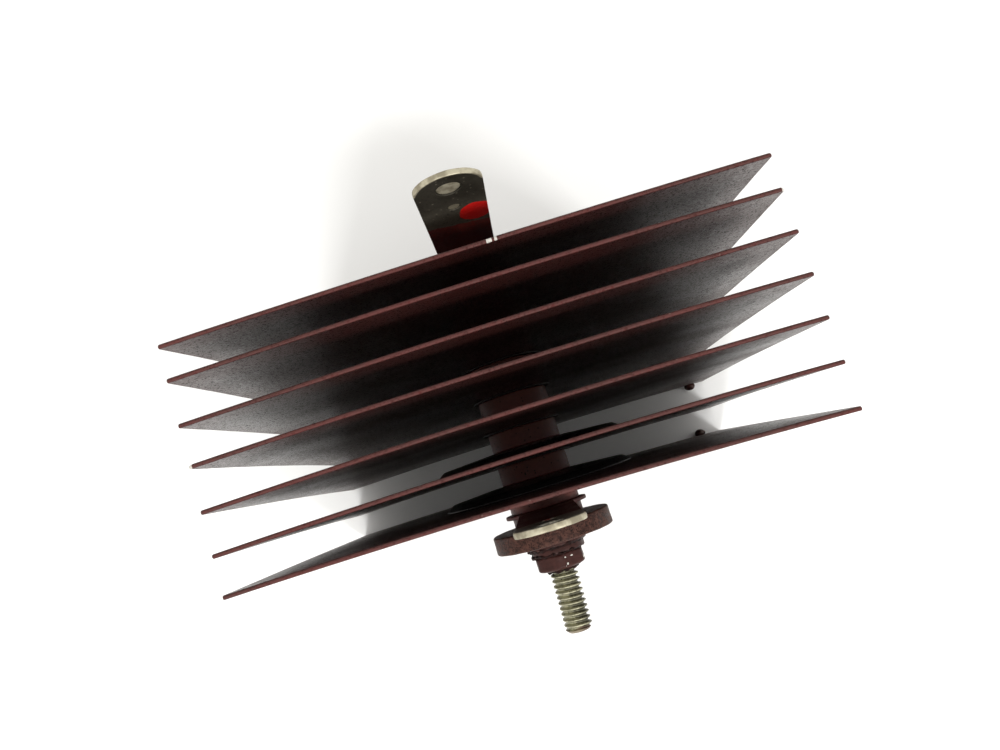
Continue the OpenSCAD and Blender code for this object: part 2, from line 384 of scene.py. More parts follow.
def makeHardware(name, pair, crackAt, glints):
    # painted steel whose film has cracked where two parts meet
    metal, crack = (0.62, 0.60, 0.55, 1), (0.004, 0.002, 0.002, 1)
    mat, g, shader, where = startMaterial(name)
    tone = use(g, grain, Vector=where, Broad=240.0, Fine=1300.0)
    axes = g.add("ShaderNodeSeparateXYZ", Vector=where).outputs
    colour = g.mix(tone["Tone"], pair[0], pair[1])
    wearAndSheen = g.add("ShaderNodeTexNoise", Vector=where, Scale=620.0, Detail=5.0)
    bare = g.step(wearAndSheen.outputs[0], 0.70, 0.715)
    # partly painted highlight: bright bare metal laid where glints show on the nut's ridge and edge
    for x, y, reachX, reachY in glints:
        far = ellipse(g, (axes["X"], x * mm, reachX), (axes["Y"], y * mm, reachY))
        tatter = g.times(g.minus(wearAndSheen.outputs[0], 0.5), 9.0)
        bare = g.math("MAXIMUM", bare, g.step(g.minus(far, tatter), 0.55, 0.75, 1.0, 0.0))
    colour = g.mix(bare, colour, metal)
    split = 0.0
    wave = g.add("ShaderNodeTexNoise", Vector=where, Scale=700.0, Detail=3.0)
    sway = g.times(g.minus(wave.outputs[0], 0.5), 0.0011)
    for y in crackAt:
        gap = g.math("ABSOLUTE", g.minus(g.plus(axes["Y"], sway), y))
        line = g.step(gap, 0.00007, 0.00016, 1.0, 0.0)
        split = g.math("MAXIMUM", line, split)
    colour = g.mix(g.times(split, 0.9), colour, crack)
    rough = g.step(tone["Tone"], 0.0, 1.0, 0.34, 0.52)
    relief = g.minus(g.minus(tone["Height"], g.times(bare, 1.5)), g.times(split, 3.0))
    surface(g, shader, colour, rough, 0.14, relief, 0.00004, g.times(bare, 0.8))
    return mat


jointY = [spanY("flat_washer")[0], spanY("flat_washer")[1], spanY("lock_washer")[0]]
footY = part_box("center_stud")[0].y
# bare spots on the nut where white glints show, partly chipped paint and partly painted highlight: across, along the
# stud, half sizes, mm
nutBareSpotsAndGlints = [(1.3, -29.1, 0.55, 0.26), (2.3, -29.2, 0.4, 0.22), (5.5, -29.0, 0.3, 0.8), (5.2, -30.4, 0.3, 0.3),
            (1.2, -30.6, 0.22, 0.2)]
plainFinishes = {
    "springBlack": {
        "pair": ((0.005, 0.005, 0.005, 1), (0.012, 0.011, 0.011, 1)), "gloss": (0.26, 0.45),
        "dark": (0.002, 0.002, 0.002, 1), "shine": 0.35},
    "columnPaint": {
        "pair": ((0.062, 0.015, 0.011, 1), (0.095, 0.025, 0.019, 1)), "gloss": (0.42, 0.58),
        "dark": (0.012, 0.004, 0.003, 1), "relief": 0.00003, "shine": 0.22},
    "contactDark": {
        "pair": ((0.006, 0.004, 0.004, 1), (0.016, 0.010, 0.008, 1)), "gloss": (0.45, 0.6),
        "dark": (0.002, 0.002, 0.002, 1), "shine": 0.25},
    "insulatorBoard": {
        "pair": ((0.018, 0.0066, 0.0045, 1), (0.078, 0.034, 0.025, 1)), "gloss": (0.42, 0.6),
        "scales": (900.0, 2600.0), "relief": 0.00009, "shine": 0.12,
        "dark": (0.006, 0.0028, 0.002, 1), "darkShare": 0.42, "darkSize": 0.36, "darkScale": 3100.0},
    "platedThread": {
        "pair": ((0.205, 0.20, 0.132, 1), (0.44, 0.425, 0.295, 1)), "gloss": (0.30, 0.52),
        "metallic": 0.75, "scales": (420.0, 2000.0), "rootRadius": (2.55, 2.95),
        "dark": (0.022, 0.018, 0.012, 1), "darkShare": 0.25, "darkScale": 1900.0},
    "tornPaint": {
        "pair": ((0.0045, 0.0015, 0.0012, 1), (0.020, 0.0065, 0.0050, 1)), "gloss": (0.55, 0.8),
        "scales": (700.0, 1900.0), "dark": (0.002, 0.001, 0.0008, 1), "relief": 0.00005, "shine": 0.10},
    "barrierFibre": {
        "pair": ((0.24, 0.16, 0.08, 1), (0.34, 0.24, 0.13, 1)), "gloss": (0.6, 0.8),
        "dark": (0.12, 0.07, 0.03, 1)},
    "tubeFibre": {
        "pair": ((0.13, 0.075, 0.033, 1), (0.20, 0.12, 0.055, 1)), "gloss": (0.4, 0.6),
        "dark": (0.06, 0.03, 0.015, 1)},
}
hardwareTones = ((0.026, 0.0080, 0.0062, 1), (0.046, 0.0155, 0.0125, 1))
finishes = {name: makePlain(name, **look) for name, look in plainFinishes.items()}
finishes["cellLacquer"] = makeCellLacquer(cellPaint)
finishes["hardwarePaint"] = makeHardware("hardwarePaint", hardwareTones, jointY, nutBareSpotsAndGlints)
strips = {
    # height over the axis where the paint ends, mm, the slope of that line, and how strongly the paint just below that
    # line is lightened as painted light
    "positiveStrip": (35.9, 0.21, 1.0, (4.6, 39.9, 3.3, 3.9), (0.046, 0.041, 0.031, 1)),
    "negativeStrip": (43.5, 0.12, 0.06),
}
for name, row in strips.items():
    finishes[name] = makeStrip(name, stripFinish, *row)
print("materials ready")


def linkMesh(name, verts, faces, finish, attributes=None):
    mesh = bpy.data.meshes.new(name)
    mesh.from_pydata([tuple(v) for v in verts], [], faces)
    mesh.validate()
    for key, values in (attributes or {}).items():
        layer = mesh.attributes.new(key, "FLOAT", "POINT")
        layer.data.foreach_set("value", values)
    mesh.materials.append(finishes[finish])
    obj = bpy.data.objects.new(name, mesh)
    intoScene(obj)
    shade(obj)
    return obj


def shade(obj, angle=None):
    # smooth all over, but for edges sharper than the angle
    obj.data.polygons.foreach_set("use_smooth", [True] * len(obj.data.polygons))
    if angle:
        bm = bmesh.new()
        bm.from_mesh(obj.data)
        for edge in bm.edges:
            if len(edge.link_faces) == 2 and edge.calc_face_angle(0) > math.radians(angle):
                edge.smooth = False
        bm.to_mesh(obj.data)
        bm.free()


def outward(obj, merge=1e-7):
    # joins what meets, drops loose points and turns every face outward
    bm = bmesh.new()
    bm.from_mesh(obj.data)
    bmesh.ops.remove_doubles(bm, verts=bm.verts, dist=merge)
    bmesh.ops.delete(bm, geom=[v for v in bm.verts if not v.link_faces], context="VERTS")
    bmesh.ops.recalc_face_normals(bm, faces=bm.faces)
    bm.to_mesh(obj.data)
    bm.free()
    obj.data.update()


def settle(obj, slot, *nodes):
    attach(obj, "root")
    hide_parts(*nodes)


def mergeInto(piece, *extras):
    # each extra keeps its own finish and stops being an object
    bm = bmesh.new()
    bm.from_mesh(piece.data)
    for extra in extras:
        paint = [m for m in extra.data.materials if m][0]
        if paint.name not in piece.data.materials:
            piece.data.materials.append(paint)
        slot = list(piece.data.materials).index(paint)
        first = len(bm.faces)
        bm.from_mesh(extra.data)
        bm.faces.ensure_lookup_table()
        for face in bm.faces[first:]:
            face.material_index = slot
        bpy.data.objects.remove(extra)
    bm.to_mesh(piece.data)
    bm.free()


def roundCorners(profile, radius, steps=4):
    # replaces each corner of a closed outline by a short arc
    out = []
    count = len(profile)
    for k, (a, b) in enumerate(profile):
        here = Vector((a, b))
        before, after = Vector(profile[k - 1]), Vector(profile[(k + 1) % count])
        back, ahead = before - here, after - here
        cut = min(radius, back.length * 0.45, ahead.length * 0.45)
        start, end = here + back.normalized() * cut, here + ahead.normalized() * cut
        for s in range(steps + 1):
            t = s / steps
            out.append(tuple(start * (1 - t) ** 2 + here * 2 * t * (1 - t) + end * t * t))
    return out


def skin(loops, count, closed=True):
    # quads between neighbouring loops of count points each
    faces = []
    for s in range(loops if closed else loops - 1):
        nxt = (s + 1) % loops
        for k in range(count):
            m = (k + 1) % count
            faces.append((s * count + k, nxt * count + k, nxt * count + m, s * count + m))
    return faces


def lathe(name, profile, finish, segments=96, wobble=0.0, seed=0.0, wave=300.0):
    # turns a closed outline of (radius, place along Y) about the stud axis
    verts = []
    for s in range(segments):
        turn = 2 * math.pi * s / segments
        for r, y in profile:
            p = Vector((r * math.cos(turn), y, r * math.sin(turn)))
            if wobble:
                side = noise.noise(p * wave + fine * (1 + seed))
                p.x += side * wobble * math.cos(turn)
                p.z += side * wobble * math.sin(turn)
                p.y += noise.noise(p * wave - fine * (3 + seed)) * wobble * 0.6
            verts.append((p.x, p.y, p.z + axisZ))
    obj = linkMesh(name, verts, skin(segments, len(profile)), finish)
    outward(obj)
    shade(obj, 40)
    return obj


def thicken(profile, step):
    # adds points so that no side of a closed outline is longer than step
    out = []
    for k, a in enumerate(profile):
        b = profile[(k + 1) % len(profile)]
        parts = max(1, int((Vector(b) - Vector(a)).length / step))
        out += [tuple(Vector(a).lerp(Vector(b), t / parts)) for t in range(parts)]
    return out


class Tree(Graph):
    # a geometry tree that ends by making its instances real and painting them
    def __init__(self, name, inputs):
        super().__init__(bpy.data.node_groups.new(name, "GeometryNodeTree"))
        face = self.tree.interface
        face.new_socket("Geometry", in_out="INPUT", socket_type="NodeSocketGeometry")
        for label, value in inputs.items():
            kind = "NodeSocketInt" if isinstance(value, int) else "NodeSocketFloat"
            face.new_socket(label, in_out="INPUT", socket_type=kind).default_value = value
        face.new_socket("Geometry", in_out="OUTPUT", socket_type="NodeSocketGeometry")
        self.inputs = self.tree.nodes.new("NodeGroupInput").outputs
        self.output = self.tree.nodes.new("NodeGroupOutput").inputs["Geometry"]

    def finish(self, geometry, material):
        real = self.add("GeometryNodeRealizeInstances", Geometry=geometry)
        paint = self.add("GeometryNodeSetMaterial", Geometry=real.outputs[0], Material=material)
        self.put(self.output, paint.outputs[0])


def runTree(obj, geometry, **values):
    # sets the named inputs, then turns the result into a plain mesh
    group = geometry.tree
    mod = obj.modifiers.new(group.name, "NODES")
    mod.node_group = group
    for item in group.interface.items_tree:
        if item.in_out == "INPUT" and item.name in values:
            mod[item.identifier] = values[item.name]
    bpy.context.view_layer.update()
    depsgraph = bpy.context.evaluated_depsgraph_get()
    mesh = bpy.data.meshes.new_from_object(
        obj.evaluated_get(depsgraph), preserve_all_data_layers=True, depsgraph=depsgraph)
    obj.modifiers.clear()
    obj.data = mesh
    mesh.name = obj.name


plate = {
    "corner": 0.55, "sideSteps": (60, 230, 60, 60), "cornerSteps": 5, "rings": 18,  # sides: right, top, left, bottom
    "film": 0.25,  # lacquer built up on the side edges, mm
    "flatTo": 23.5,  # stays flat out to here, where the spring presses on it
    "dish": {1: 0.95, 2: 0.62, 3: 0.65, 4: 0.79, 5: 0.47, 6: 0.50, 7: 0.10},
    "bend": {1: 0.0, 2: 0.38, 3: 0.22, 4: 0.28, 5: 0.50, 6: 0.66, 7: 0.78},
    "pitch": {1: -1.53, 2: 0.06, 3: -0.20, 4: 0.26, 5: 0.04, 6: 0.22, 7: 0.14},  # degrees
    "yaw": {1: 0.04, 2: 0.0, 3: 0.26, 4: 0.06, 5: 0.22, 6: 0.13, 7: -0.41},
    # chips: plate, place across it, height over the axis, size, mm
    "chips": [(1, 5.0, 55.5, 0.52), (1, 6.2, 55.6, 0.45), (4, -55.4, 55.4, 0.6), (2, 55.4, 55.4, 0.4),
              (6, 55.5, 30.0, 0.9), (1, -55.5, -20.0, 1.0), (3, 55.5, -38.0, 0.9), (5, -55.5, 12.0, 0.9)],
    # drops of paint on a plate: place across it, height over the axis, out along the stud, radius, mm
    "drops": {5: [(51.0, -53.6, -1.6, 1.6)], 7: [(49.5, -53.4, -0.25, 1.6)]},
}


def squareLoop(half, radius, sideSteps, cornerSteps):
    # evenly walked outline of a square with rounded corners
    points = []
    flat = half - radius
    for side in range(4):
        turn = side * math.pi / 2
        c, s = math.cos(turn), math.sin(turn)
        for k in range(sideSteps[side]):
            t = -flat + 2 * flat * k / sideSteps[side]
            points.append((half * c - t * s, half * s + t * c))
        for k in range(cornerSteps):
            a = (math.pi / 2) * k / cornerSteps
            x, z = flat + radius * math.cos(a), flat + radius * math.sin(a)
            points.append((x * c - z * s, x * s + z * c))
    return points


def plateBlank(name, index, p):
    # a flat cell with a rounded rim and bore; the tree below dishes it
    low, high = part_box(f"rectifier_plate_{index}")
    half, centre, thick = (high.x - low.x) / 2, (low.y + high.y) / 2, high.y - low.y
    bore = tubeHole * mm
    rimRadius = thick / 2
    rows = []  # each row: inset from the outline, height, share of the way to the bore, rim mask
    for k in range(9):
        a = math.pi / 2 - math.pi * k / 8
        # painted highlight: the rim mask is strongest on the crest of the rim, fades towards its faces and is weaker
        # on the side away from the lamps; it also marks paint worn thin at the edge
        pale = min(1.0, math.cos(a) * 1.7 + 0.15) * (1 - 0.8 * min(1.0, max(0.0, math.sin(a) * 1.6 - 0.1)))
        rows.append((rimRadius * (1 - math.cos(a)) * 0.6, rimRadius * math.sin(a), 0.0, pale))
    inner = []
    for k in range(1, p["rings"] + 1):
        inner.append((k / p["rings"]) ** 1.35)
    flatIn = rimRadius * 0.6
    close = [(flatIn + 0.25 * mm, 0.0, 0.10), (flatIn + 0.8 * mm, 0.0, 0.0)]  # rows by the rim keep its shading crisp
    face = [(d, -rimRadius, t, mask) for d, t, mask in close] + [(flatIn, -rimRadius, t, 0.0) for t in inner]
    back = [(d, -h, t, mask) for d, h, t, mask in reversed(face)]
    rows += face + back
    verts, faces, rim = [], [], []
    chips = [(x, z, size) for i, x, z, size in p["chips"] if i == index]
    chipMask = []
    for inset, height, t, mask in rows:
        # inside the corner radius the corner simply stays sharp, so the rows never cross
        loop = squareLoop(half - inset, max(p["corner"] * mm - inset, 0.03 * mm), p["sideSteps"], p["cornerSteps"])
        for px, pz in loop:
            length = math.hypot(px, pz)
            bx, bz = px / length * bore, pz / length * bore
            qx, qz = px + (bx - px) * t, pz + (bz - pz) * t
            # paint gathers unevenly along the rim
            fat = 1 + 0.10 * noise.noise(Vector((px, index * 0.31, pz)) * 220) * mask
            hit = 0.0
            for cx, cz, size in chips:
                gap = math.hypot(qx / mm - cx, qz / mm - cz)
                hit = max(hit, 1 - gap / size) if gap < size else hit
            if hit > 0.15:
                fat *= 1 - 0.22 * min(1, hit * 2)
            verts.append((qx * (1 + p["film"] * mm / half), centre + height * fat, qz + axisZ))
            rim.append(mask)
            chipMask.append(min(1.0, hit * 2.2))
    count = len(loop)
    for r in range(len(rows)):
        nxt = (r + 1) % len(rows)
        for k in range(count):
            m = (k + 1) % count
            faces.append((r * count + k, r * count + m, nxt * count + m, nxt * count + k))
    obj = linkMesh(name, verts, faces, "cellLacquer", attributes={"rim": rim, "chip": chipMask})
    outward(obj, 1e-8)
    return obj, half


def makeDishTree():
    g = Tree("dishedCell", {
        "Dish": 0.0008, "Pitch": 0.0, "Yaw": 0.0, "Flat To": 0.0235, "Half": 0.0555, "Axis Height": 0.055,
        "Ripple": 0.00006, "Seed": 0.0, "Bend": 0.0})
    at = g.inputs
    place = g.add("GeometryNodeInputPosition").outputs[0]
    xyz = g.add("ShaderNodeSeparateXYZ", Vector=place).outputs
    x = xyz["X"]
    z = g.minus(xyz["Z"], at["Axis Height"])
    r2 = g.plus(g.times(x, x), g.times(z, z))
    flat2 = g.times(at["Flat To"], at["Flat To"])
    corner2 = g.times(g.times(at["Half"], at["Half"]), 2.0)
    bowl = g.ramp(r2, flat2, corner2)
    radius = g.math("SQRT", r2)
    free = g.ramp(radius, at["Flat To"], g.times(at["Flat To"], 1.9), kind="SMOOTHSTEP")
    tilt = g.plus(g.times(z, at["Pitch"]), g.times(x, at["Yaw"]))
    wave = g.add("ShaderNodeTexNoise", {"noise_dimensions": "4D"}, Vector=place, W=at["Seed"], Scale=26.0, Detail=1.0)
    ripple = g.times(g.minus(wave.outputs[0], 0.5), g.times(at["Ripple"], 2.0))
    push = g.times(g.plus(tilt, ripple), free)
    push = g.minus(push, g.times(bowl, at["Dish"]))
    across = g.math("DIVIDE", x, at["Half"])
    curl = g.times(g.times(across, across), g.times(at["Bend"], free))
    push = g.minus(push, curl)
    offset = g.add("ShaderNodeCombineXYZ", Y=push).outputs[0]
    moved = g.add("GeometryNodeSetPosition", Geometry=at["Geometry"], Offset=offset)
    g.finish(moved.outputs[0], finishes["cellLacquer"])
    return g


def makeDropTree():
    g = Tree("paintDrops", {"Radius": 0.0017, "Flatten": 0.75, "Lump": 0.0003, "Seed": 0.0})
    at = g.inputs
    ball = g.add("GeometryNodeMeshIcoSphere", Radius=at["Radius"], Subdivisions=4)
    size = g.add("ShaderNodeCombineXYZ", X=1.0, Y=at["Flatten"], Z=0.85).outputs[0]
    drops = g.add("GeometryNodeInstanceOnPoints", Points=at["Geometry"], Instance=ball.outputs["Mesh"], Scale=size)
    real = g.add("GeometryNodeRealizeInstances", Geometry=drops.outputs[0])
    place = g.add("GeometryNodeInputPosition").outputs[0]
    wave = g.add("ShaderNodeTexNoise", {"noise_dimensions": "4D"}, Vector=place, W=at["Seed"], Scale=420.0,
                 Detail=1.0)
    lift = g.times(g.minus(wave.outputs[0], 0.5), g.times(at["Lump"], 2.0))
    normal = g.add("GeometryNodeInputNormal").outputs[0]
    offset = g.add("ShaderNodeVectorMath", {"operation": "SCALE"}, Vector=normal, Scale=lift).outputs["Vector"]
    moved = g.add("GeometryNodeSetPosition", Geometry=real.outputs[0], Offset=offset)
    g.finish(moved.outputs[0], finishes["cellLacquer"])
    return g


dishTree, dropTree = makeDishTree(), makeDropTree()
for index in range(1, 8):
    cell, half = plateBlank(f"rectifierPlate{index}", index, plate)
    runTree(cell, dishTree, **{
        "Dish": plate["dish"][index] * mm, "Pitch": math.tan(math.radians(plate["pitch"][index])),
        "Yaw": math.tan(math.radians(plate["yaw"][index])), "Flat To": plate["flatTo"] * mm, "Half": half,
        "Axis Height": axisZ, "Seed": float(index), "Bend": plate["bend"][index] * mm})
    for across, up, out, radius in plate["drops"].get(index, []):
        drop = linkMesh("drop", [(across * mm, plateY[index] + out * mm, axisZ + up * mm)], [], "cellLacquer")
        runTree(drop, dropTree, **{"Radius": radius * mm, "Seed": float(index)})
        shade(drop)
        mergeInto(cell, drop)
    settle(cell, "painted_cell", f"rectifier_plate_{index}")
print("plates made")


spring = {"rim": 22.3, "shoulder": 20.6, "shoulderUp": 1.5, "up": 2.25, "flat": 9.0, "skin": 0.45, "bore": tubeHole,
          "soft": 0.28}


def makeSpring(index, p):
    base = spanY(f"contact_spring_{index}")[0]
    skin = p["skin"]
    outline = [(p["bore"], p["up"]), (p["flat"], p["up"]), (p["shoulder"], p["shoulderUp"]), (p["rim"], skin * 0.6),
               (p["rim"], 0.02), (p["rim"] - skin, 0.02), (p["shoulder"] - skin * 0.4, p["shoulderUp"] - skin),
               (p["flat"], p["up"] - skin), (p["bore"], p["up"] - skin)]
    outline = [(r * mm, base + y * mm) for r, y in roundCorners(outline, p["soft"], 3)]
    piece = lathe(f"contactSpring{index}", thicken(outline, 1.6 * mm), "springBlack", 128, 0.00004, index)
    settle(piece, "black_spring", f"contact_spring_{index}")


for index in range(1, 8):
    makeSpring(index, spring)


def ringPiece(node, name, finish, slot, soft, wobble, inner=tubeHole, segments=96, step=0.7):
    # a plain ring with softened edges, as wide and long as its node; lengths in mm
    low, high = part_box(node)
    outer, hole = (high.x - low.x) / 2, inner * mm
    outline = [(hole, low.y), (outer, low.y), (outer, high.y), (hole, high.y)]
    outline = thicken(roundCorners(outline, soft * mm, 4), step * mm)
    piece = lathe(name, outline, finish, segments, wobble * mm, len(name) * 0.37 + low.y * 900)
    settle(piece, slot, node)


ringPieces = {f"spacer_{i}": (f"spacer{i}", "columnPaint", "painted_spacer", 0.3, 0.05) for i in range(1, 7)}
ringPieces.update({
    f"contact_washer_{i}": (f"contactWasher{i}", "contactDark", "contact_metal", 0.12, 0.02) for i in range(1, 8)})
ringPieces.update({
    "positive_end_collar": ("positiveCollar", "columnPaint", "painted_spacer", 0.3, 0.05),
    "negative_end_collar": ("negativeCollar", "columnPaint", "painted_spacer", 0.3, 0.05),
    "back_collar": ("backCollar", "columnPaint", "painted_spacer", 0.3, 0.06),
    "insulating_washer": ("insulatingWasher", "insulatorBoard", "painted_insulator", 0.5, 0.10, tubeHole, 160, 0.6),
    "cap_washer": ("capWasher", "insulatorBoard", "painted_insulator", 0.2, 0.05, studHole),
    "flat_washer": ("flatWasher", "hardwarePaint", "painted_hardware", 0.35, 0.14, studHole, 120, 0.35),
})
for node, row in ringPieces.items():
    ringPiece(node, *row)
print("springs, spacers and washers made")


def makeLockWasher(node, name):
    low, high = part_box(node)
    outer, hole, y0, y1 = (high.x - low.x) / 2, studHole * mm, low.y, high.y
    outline = thicken(roundCorners([(hole, y0), (outer, y0), (outer, y1), (hole, y1)], 0.25 * mm, 3), 0.4 * mm)
    split = math.asin(0.6 / 6.2)  # half the gap over the radius where it was measured, mm
    segments, count = 110, len(outline)
    verts = []
    for s in range(segments + 1):
        turn = split + (2 * math.pi - 2 * split) * s / segments
        for r, y in outline:
            p = Vector((r * math.cos(turn), y, r * math.sin(turn)))
            p += p.normalized() * noise.noise(p * 420 + fine) * 0.12 * mm
            verts.append((p.x, p.y, p.z + axisZ))
    faces = skin(segments + 1, count, closed=False)
    faces.append(tuple(range(count)))
    faces.append(tuple(segments * count + k for k in reversed(range(count))))
    piece = linkMesh(name, verts, faces, "hardwarePaint")
    outward(piece)
    shade(piece, 40)
    settle(piece, "painted_hardware", node)


makeLockWasher("lock_washer", "lockWasher")

nut = {"flats": 11.1, "bore": 2.8, "face": 5.25, "segments": 144, "soften": 0.85,
       "aside": 0.35}  # the nut sits off the axis by its play, mm
torn = {
    # ragged film left over the joints: (radius, place along the stud from the nut) outlines, mm
    "collar": [(4.2, -0.35), (5.55, -0.35), (6.15, -0.1), (6.3, 0.25), (5.8, 0.5), (4.2, 0.5)],
    "shelf": [(4.2, 1.25), (6.3, 1.2), (6.75, 1.45), (6.9, 1.8), (6.3, 1.95), (4.2, 1.95)],
    "skirt": [(2.9, 0.4), (4.3, 0.4), (4.25, -0.05), (3.75, -0.3), (3.45, -0.75), (2.9, -0.8)],
    "rag": {"collar": 0.75, "shelf": 0.65, "skirt": 0.55},
}


def makeTorn(kind, along, p):
    outline = thicken([(r * mm, along + y * mm) for r, y in p[kind]], 0.16 * mm)
    film = lathe("torn", outline, "tornPaint", 220, p["rag"][kind] * mm, len(kind), 850.0)
    for v in film.data.vertices:
        v.co.x -= nut["aside"] * mm
    return film


def makeNut(node, name, p, seed, films):
    low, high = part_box(node)
    y0, y1 = low.y, high.y
    thick = (y1 - y0) / mm
    rows = [(p["bore"], 0.0), (3.3, 0.0), (4.2, 0.0), (p["face"] - 0.3, 0.0)]
    steps = 22
    for k in range(steps + 1):
        t = k / steps
        y = thick * (0.5 - 0.5 * math.cos(math.pi * t))
        edge = min(y, thick - y)
        rows.append((p["face"] + min(edge, 0.52) * 1.7 + 0.02, y))
    rows += [(p["face"] - 0.3, thick), (4.2, thick), (3.3, thick), (p["bore"], thick)]
    verts = []
    for s in range(p["segments"]):
        turn = 2 * math.pi * s / p["segments"]
        # one corner points up, so the flats face the sides
        away = (turn - math.pi / 2) % (math.pi / 3)
        flat = p["flats"] / 2 / math.cos(min(away, math.pi / 3 - away) - math.pi / 6)
        for r, y in rows:
            limit = r
            if r > p["face"] - 0.2:
                # softened minimum of the cone and the flats
                k = p["soften"]
                blend = max(k - abs(r - flat), 0) / k
                limit = min(r, flat + 0.02) - blend * blend * k / 4
                edge = min(y, thick - y)
                limit -= 0.22 * max(0, 1 - edge / 0.28) ** 2
            v = Vector((limit * math.cos(turn), y, limit * math.sin(turn)))
            if r > 3.4:
                v.x += noise.noise(v * 0.55 + fine * seed) * 0.05
                v.z += noise.noise(v * 0.55 - fine * seed) * 0.05
            verts.append(((v.x - p["aside"]) * mm, y0 + v.y * mm, v.z * mm + axisZ))
    piece = linkMesh(name, verts, skin(p["segments"], len(rows)), "hardwarePaint")
    outward(piece)
    shade(piece, 50)
    mergeInto(piece, *films)
    settle(piece, "painted_hardware", node)


low, high = spanY("mounting_nut")
makeNut("mounting_nut", "mountingNut", nut, 2,
        [makeTorn("collar", high, torn), makeTorn("shelf", high, torn), makeTorn("skirt", low, torn)])
makeNut("end_nut", "endNut", nut, 5, [])
print("nuts made")


stud = {"major": 3.24, "minor": 2.5, "pitch": 1.27, "crest": 0.11, "chamfer": 0.8, "shank": 2.75, "lean": 0.45}


def makeThreadTree():
    g = Tree("rolledThread", {
        "Major": 0.003175, "Minor": 0.0025, "Pitch": 0.00127, "Length": 0.02, "Start": 0.0, "Axis Height": 0.055,
        "Chamfer": 0.0007, "Crest": 0.16, "Tip Low": 1.0, "Tip High": 0.0, "Runout": 0.002,
        "Turns Around": 73, "Rows": 200})
    at = g.inputs
    grid = g.add("GeometryNodeMeshGrid", Size_X=1.0, Size_Y=1.0, Vertices_X=at["Turns Around"], Vertices_Y=at["Rows"])
    place = g.add("GeometryNodeInputPosition").outputs[0]
    xyz = g.add("ShaderNodeSeparateXYZ", Vector=place).outputs
    turn = g.times(g.plus(xyz["X"], 0.5), 2 * math.pi)
    share = g.plus(xyz["Y"], 0.5)
    # the first and last rows close the ends
    rowStep = g.math("DIVIDE", 1.0, g.minus(at["Rows"], 1.0))
    inner = g.ramp(share, rowStep, g.minus(1.0, rowStep))
    along = g.times(inner, at["Length"])
    phase = g.minus(g.math("DIVIDE", along, at["Pitch"]), g.math("DIVIDE", turn, 2 * math.pi))
    saw = g.math("ABSOLUTE", g.minus(g.times(g.math("FRACT", phase), 2.0), 1.0))
    tooth = g.ramp(saw, at["Crest"], g.minus(1.0, at["Crest"]), kind="SMOOTHSTEP")
    depth = g.minus(at["Major"], at["Minor"])
    fromHigh = g.minus(at["Length"], along)
    faded = g.ramp(fromHigh, 0.0, at["Runout"], kind="SMOOTHSTEP")
    faded = g.math("MAXIMUM", faded, at["Tip High"])
    radius = g.plus(at["Minor"], g.times(g.times(depth, tooth), faded))
    # a chamfer cuts only the ends that are tips
    chamfer = g.minus(at["Major"], at["Chamfer"])
    low = g.plus(g.plus(chamfer, along), g.minus(1.0, at["Tip Low"]))
    high = g.plus(g.plus(chamfer, fromHigh), g.minus(1.0, at["Tip High"]))
    radius = g.math("MINIMUM", radius, g.math("MINIMUM", low, high))
    closed = g.times(g.math("GREATER_THAN", share, 1e-5), g.math("LESS_THAN", share, 0.99999))
    radius = g.times(radius, closed)
    spot = g.add("ShaderNodeCombineXYZ", X=g.times(radius, g.math("COSINE", turn)),
                 Y=g.plus(at["Start"], along),
                 Z=g.plus(at["Axis Height"], g.times(radius, g.math("SINE", turn)))).outputs[0]
    moved = g.add("GeometryNodeSetPosition", Geometry=grid.outputs["Mesh"], Position=spot)
    merged = g.add("GeometryNodeMergeByDistance", Geometry=moved.outputs[0], Distance=1e-7)
    g.finish(merged.outputs[0], finishes["platedThread"])
    return g


threadTree = makeThreadTree()


def makeThread(name, start, length, tipLow, tipHigh, p):
    obj = bpy.data.objects.new(name, bpy.data.meshes.new(name))
    intoScene(obj)
    runTree(obj, threadTree, **{
        "Major": p["major"] * mm, "Minor": p["minor"] * mm, "Pitch": p["pitch"] * mm, "Chamfer": p["chamfer"] * mm,
        "Length": length, "Start": start, "Axis Height": axisZ, "Crest": p["crest"], "Tip Low": tipLow,
        "Tip High": tipHigh, "Rows": int(length / (0.075 * mm))})
    outward(obj)
    return obj


def makeStud(p):
    low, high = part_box("center_stud")
    foot = spanY("back_collar")[0]
    head = spanY("end_nut")[0] - 2 * mm
    lower = makeThread("studLower", low.y, foot - low.y, 1.0, 0.0, p)
    upper = makeThread("studUpper", head, high.y - head, 0.0, 1.0, p)
    # the shank runs on inside both threads and ends close to its own axis
    near, beyond, core, radius = foot - 1.5 * mm, head + 0.8 * mm, 0.001 * mm, p["shank"] * mm
    outline = [(core, near), (radius, near), (radius, beyond), (core, beyond)]
    shank = lathe("stud", thicken(outline, 4 * mm), "platedThread", 48)
    mergeInto(shank, lower, upper)
    # the free end has been knocked slightly to one side
    free, board = spanY("mounting_nut")[1], spanY("insulating_washer")[0]
    for v in shank.data.vertices:
        aside = nut["aside"] * min(1.0, max(0.0, (board - v.co.y) / (board - free)))
        lean = p["lean"] * (max(0.0, free - v.co.y) / (free - low.y)) ** 1.3
        v.co.x -= (aside + lean) * mm
    shade(shank, 55)
    settle(shank, "plated_steel", "center_stud")


makeStud(stud)
print("stud made")


terminal = {
    "width": 12.7, "ring": 9.7, "reach": 58.4, "tip": 6.8, "screw": (52.7, 2.3), "wire": (44.4, 1.2), "bore": tubeHole,
    "flare": 0.024,  # the tip is this much wider than the strip
    "thick": 0.8, "bend": 10.5, "bead": 0.14, "beadIn": 0.38, "soft": 0.12,
    "film": 0.16,  # half thickness of the solder skin over the two holes
}


